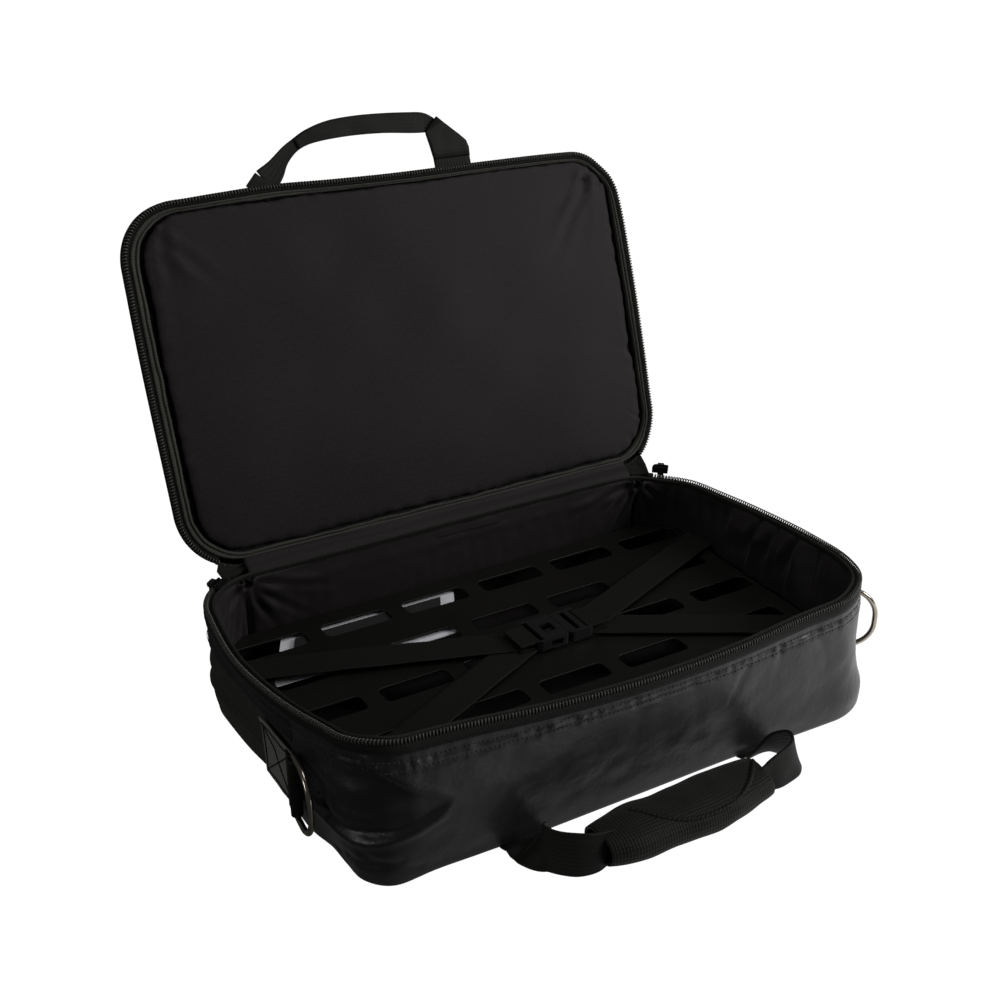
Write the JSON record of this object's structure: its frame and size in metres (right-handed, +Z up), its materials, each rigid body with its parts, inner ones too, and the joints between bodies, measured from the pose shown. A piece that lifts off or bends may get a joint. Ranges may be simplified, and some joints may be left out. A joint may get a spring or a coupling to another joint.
{
  "type": "guitar pedal case",
  "caption": "Soft padded case, open, with a zipped hinged lid, carry handles, D-rings and a slotted metal pedal board held down by buckled straps.",
  "frame": {"origin": "middle of the bag's flat bottom, on the surface it stands on", "axes": "+X along the front to the right, +Y from the front to the hinged back, +Z up"},
  "size_m": [0.5264, 0.5082, 0.435],
  "materials": {
    "shell_black": "coarse woven nylon",
    "shell_grey": "coarse woven nylon, dusty",
    "padding": "foam",
    "lining": "thin nylon lining over padding",
    "binding": "folded grosgrain",
    "zip_tape": "woven tape",
    "zip_coil": "nylon coil",
    "webbing": "ribbed webbing",
    "ring_metal": "nickel plated wire",
    "grip_fabric": "woven nylon",
    "zip_metal": "gunmetal",
    "board_paint": "satin black powder coat",
    "foot_rubber": "matte",
    "screw_steel": "black",
    "buckle_plastic": "satin moulded",
    "hook_tape": "hook pile",
    "liner_paper": "smooth release liner"
  },
  "bodies": {
    "base": {"base_bottom_panel": "shell_black", "base_floor_pad": "padding", "base_floor_lining": "lining", "base_front_panel": "shell_grey", "base_left_panel": "shell_grey", "base_right_panel": "shell_grey", "base_back_panel": "shell_grey", "base_front_foam": "padding", "base_left_foam": "padding", "base_right_foam": "padding", "base_back_foam": "padding", "base_wall_lining": "lining", "base_rim_binding": "binding", "base_zip_tape": "zip_tape", "base_zip_coil": "zip_coil", "zip_end_stops": "zip_tape", "left_ring_tab": "webbing", "right_ring_tab": "webbing", "base_handle_anchors": "webbing", "hinge_strip": "lining", "strap_anchors": "webbing", "strap_back_left": "webbing", "strap_front_left": "webbing", "strap_back_right": "webbing", "strap_front_right": "webbing"},
    "lid": {"lid_top_panel": "shell_grey", "lid_edge_foam": "padding", "lid_top_foam": "padding", "lid_lining": "lining", "lid_rim_binding": "binding", "lid_zip_tape": "zip_tape", "lid_zip_coil": "zip_coil", "lid_handle_anchors": "webbing"},
    "lid_handle": {"lid_handle": "webbing"},
    "base_handle": {"base_handle_webbing": "webbing", "base_handle_grip": "padding", "grip_wrap": "grip_fabric"},
    "left_ring": {"left_d_ring": "ring_metal"},
    "right_ring": {"right_d_ring": "ring_metal"},
    "left_slider": {"left_slider": "zip_metal"},
    "right_slider": {"right_slider": "zip_metal"},
    "left_pull": {"left_pull": "zip_metal"},
    "right_pull": {"right_pull": "zip_metal"},
    "board": {"board_plate": "board_paint", "board_edge": "board_paint", "board_feet": "foot_rubber", "board_screws": "screw_steel", "spare_hook_pad": "hook_tape", "spare_pad_liner": "liner_paper", "buckle_socket": "buckle_plastic", "strap_loop_left": "webbing"},
    "buckle_plug": {"buckle_plug": "buckle_plastic", "strap_loop_right": "webbing"}
  },
  "joints": [
    {"name": "lid_hinge", "type": "hinge", "parent": "base", "child": "lid", "pos_m": [0, 0.1545, 0.104], "axis": [-1, 0, 0], "range_deg": [-110, 70], "deforming": ["hinge_strip"]},
    {"name": "lid_handle_swing", "type": "hinge", "parent": "lid", "child": "lid_handle", "pos_m": [0, 0.26948, 0.393], "axis": [-1, 0, 0], "range_deg": [-85, 100]},
    {"name": "base_handle_swing", "type": "hinge", "parent": "base", "child": "base_handle", "pos_m": [0, -0.158, 0.0032], "axis": [-1, 0, 0], "range_deg": [0, 57]},
    {"name": "left_ring_swing", "type": "hinge", "parent": "base", "child": "left_ring", "pos_m": [-0.2452, -0.064, 0.044], "axis": [0, 0, -1], "range_deg": [-6, 169]},
    {"name": "right_ring_swing", "type": "hinge", "parent": "base", "child": "right_ring", "pos_m": [0.2452, -0.078, 0.044], "axis": [0, 0, 1], "range_deg": [-50, 125]},
    {"name": "left_slider_travel", "type": "hinge", "parent": "base", "child": "left_slider", "pos_m": [-0.188, 0.101, 0.104], "axis": [0, 0, 1], "range_deg": [0, 46]},
    {"name": "right_slider_travel", "type": "hinge", "parent": "base", "child": "right_slider", "pos_m": [0.188, 0.101, 0.104], "axis": [0, 0, -1], "range_deg": [0, 46]},
    {"name": "left_pull_swing", "type": "hinge", "parent": "left_slider", "child": "left_pull", "pos_m": [-0.22607, 0.14369, 0.104], "axis": [0.7464, 0.6655, 0], "range_deg": [0, 150]},
    {"name": "right_pull_swing", "type": "hinge", "parent": "right_slider", "child": "right_pull", "pos_m": [0.22607, 0.14369, 0.104], "axis": [0.7464, -0.6655, 0], "range_deg": [0, 150]},
    {"name": "board_lift", "type": "slide", "parent": "base", "child": "board", "axis": [0, 0, 1], "range_m": [0, 0.04], "deforming": ["strap_back_left", "strap_front_left", "strap_back_right", "strap_front_right"]},
    {"name": "buckle_release", "type": "slide", "parent": "board", "child": "buckle_plug", "axis": [1, 0, 0], "range_m": [0, 0.022]}
  ]
}
